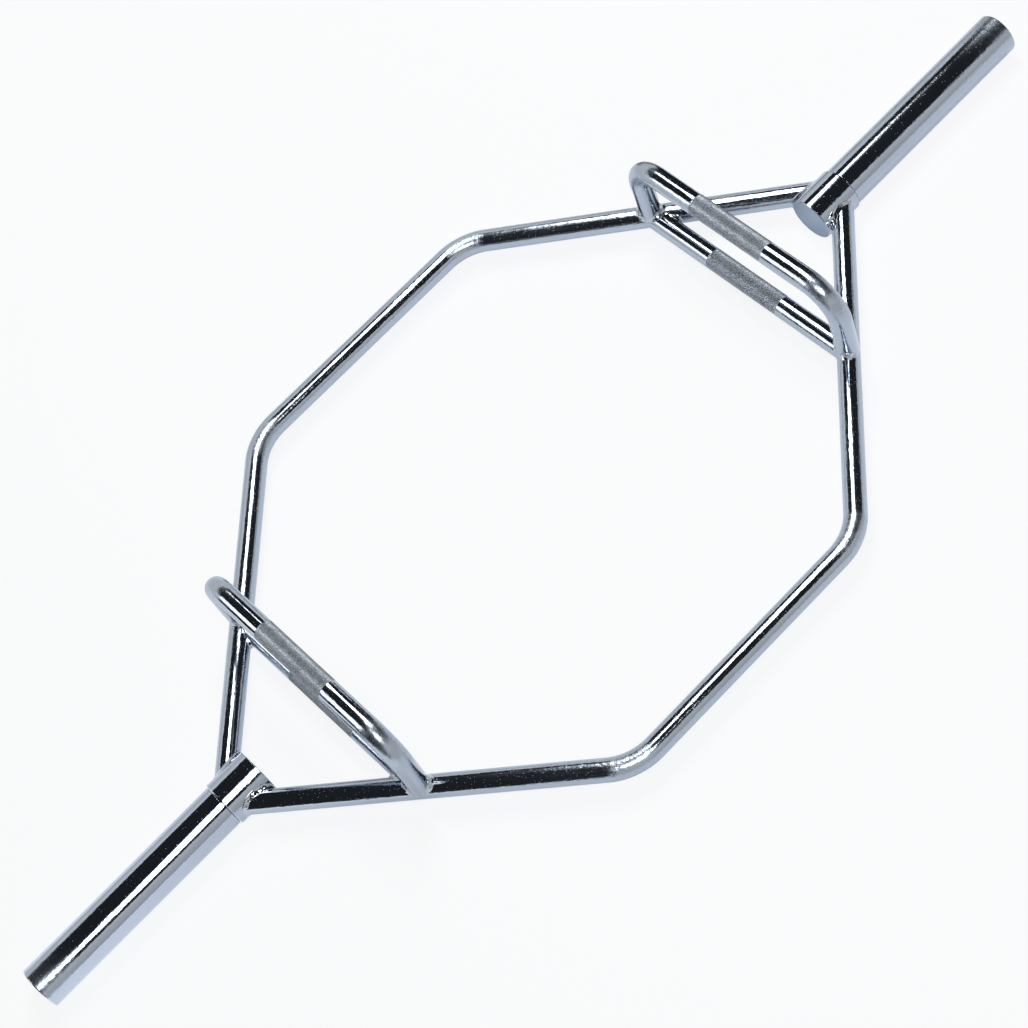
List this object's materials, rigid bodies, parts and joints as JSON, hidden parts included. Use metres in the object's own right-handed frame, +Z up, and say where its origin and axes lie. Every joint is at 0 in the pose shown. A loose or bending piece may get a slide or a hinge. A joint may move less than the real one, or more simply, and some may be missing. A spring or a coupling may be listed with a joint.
{
  "type": "hex trap bar",
  "caption": "Hexagonal deadlift bar of bent chrome-plated rod, with low and raised knurled grips at both ends and plate sleeves that turn beside welded collars.",
  "frame": {"origin": "on the floor under the middle of the hexagon, level with the underside of the collars", "axes": "+X along the sleeves, +Y across the hexagon, +Z up towards the raised grips"},
  "size_m": [1.474, 0.634, 0.1435],
  "materials": {
    "plated_bar": "polished chrome plate over solid steel bar",
    "plated_sleeve": "polished chrome plate, scuffed at the mouth",
    "plated_weld": "chrome plate over lumpy weld beads",
    "knurled_grip": "chrome plate, fine diamond knurl in the middle and polished towards the ends",
    "bare_steel": "turned steel, oiled",
    "bush_bronze": "plain sintered bronze",
    "brushed_disc": "fine straight brush lines, bare",
    "black_spring_steel": "black phosphate spring steel"
  },
  "bodies": {
    "frame": {"rear_frame_bar": "plated_bar", "front_frame_bar": "plated_bar", "left_low_grip": "knurled_grip", "left_raised_handle": "knurled_grip", "left_collar": "plated_bar", "left_collar_welds": "plated_weld", "left_grip_welds": "plated_weld", "left_spindle": "bare_steel", "left_spindle_washer": "bare_steel", "left_spindle_ring": "black_spring_steel", "right_low_grip": "knurled_grip", "right_raised_handle": "knurled_grip", "right_collar": "plated_bar", "right_collar_welds": "plated_weld", "right_grip_welds": "plated_weld", "right_spindle": "bare_steel", "right_spindle_washer": "bare_steel", "right_spindle_ring": "black_spring_steel"},
    "left_sleeve_unit": {"left_sleeve": "plated_sleeve", "left_inner_bush": "bush_bronze", "left_outer_bush": "bush_bronze", "left_end_disc": "brushed_disc", "left_end_snap_ring": "black_spring_steel"},
    "right_sleeve_unit": {"right_sleeve": "plated_sleeve", "right_inner_bush": "bush_bronze", "right_outer_bush": "bush_bronze", "right_end_disc": "brushed_disc", "right_end_snap_ring": "black_spring_steel"}
  },
  "joints": [
    {"name": "left_sleeve_spin", "type": "hinge", "parent": "frame", "child": "left_sleeve_unit", "pos_m": [-0.60575, 0, 0.027], "axis": [1, 0, 0], "continuous": true},
    {"name": "right_sleeve_spin", "type": "hinge", "parent": "frame", "child": "right_sleeve_unit", "pos_m": [0.60575, 0, 0.027], "axis": [1, 0, 0], "continuous": true}
  ]
}
